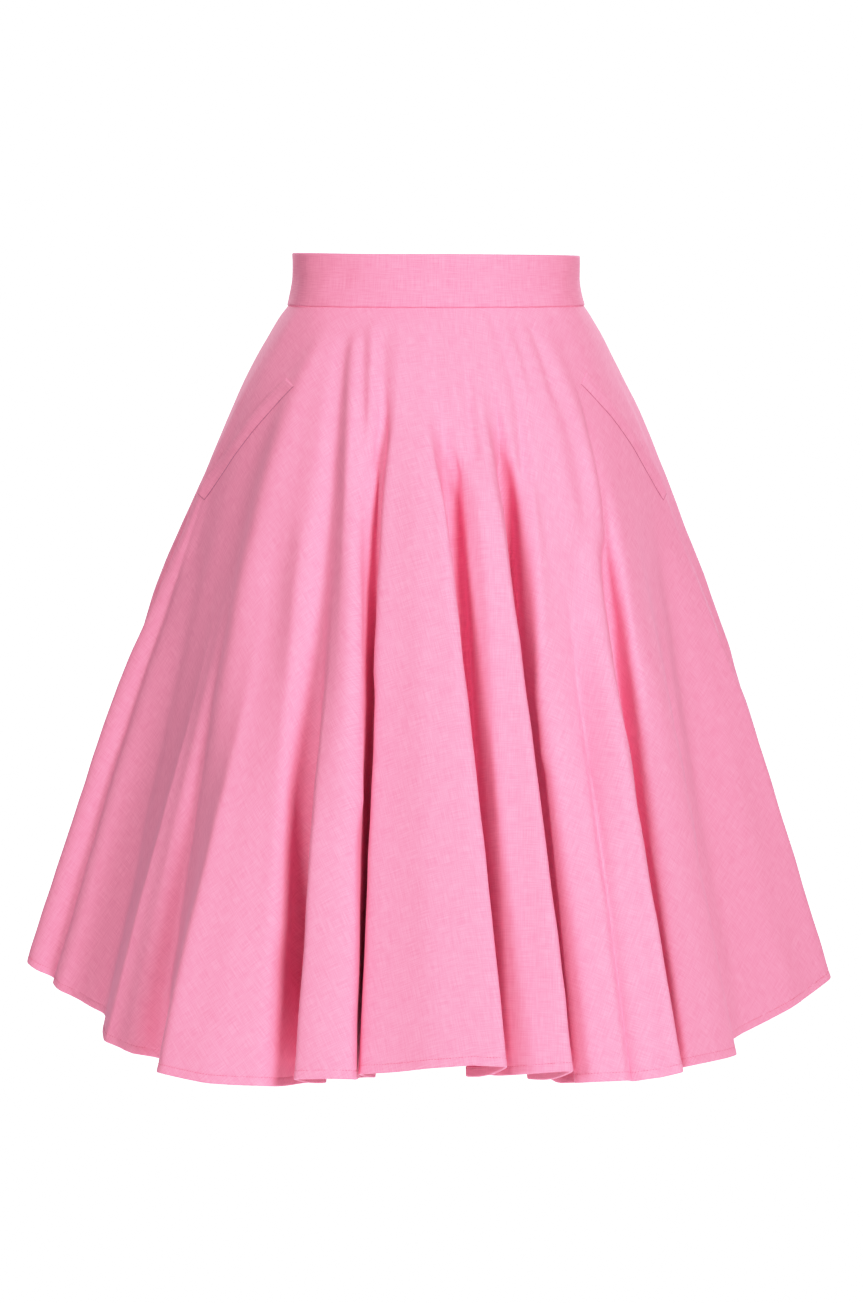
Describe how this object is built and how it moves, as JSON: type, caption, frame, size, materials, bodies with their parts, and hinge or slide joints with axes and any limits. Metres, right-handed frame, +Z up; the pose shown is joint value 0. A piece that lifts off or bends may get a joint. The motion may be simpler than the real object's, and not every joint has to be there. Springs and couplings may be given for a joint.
{
  "type": "skirt",
  "caption": "Full-circle swing skirt, knee length, with a waistband and slanted side pockets, filled out as worn.",
  "frame": {"origin": "centre of the waist opening at half the waistband's height", "axes": "+Z up, -Y the skirt's front, +X the wearer's left"},
  "size_m": [0.7204, 0.7178, 0.6672],
  "materials": {
    "pink_woven_cloth": "matte slubbed plain weave",
    "pink_zip_tape": "woven tape with a nylon coil",
    "pink_metal": "lacquered"
  },
  "bodies": {
    "skirt": {"waistband": "pink_woven_cloth", "skirt_front": "pink_woven_cloth", "skirt_back_left": "pink_woven_cloth", "skirt_back_right": "pink_woven_cloth", "pocket_welt_right": "pink_woven_cloth", "pocket_welt_left": "pink_woven_cloth", "zip_tape": "pink_zip_tape", "zip_slider": "pink_metal"},
    "zip_pull": {"zip_pull": "pink_metal"}
  },
  "joints": [
    {"name": "zip_pull_hinge", "type": "hinge", "parent": "skirt", "child": "zip_pull", "pos_m": [0, 0.0989, 0.0105], "axis": [1, 0, 0], "range_deg": [0, 150]}
  ]
}
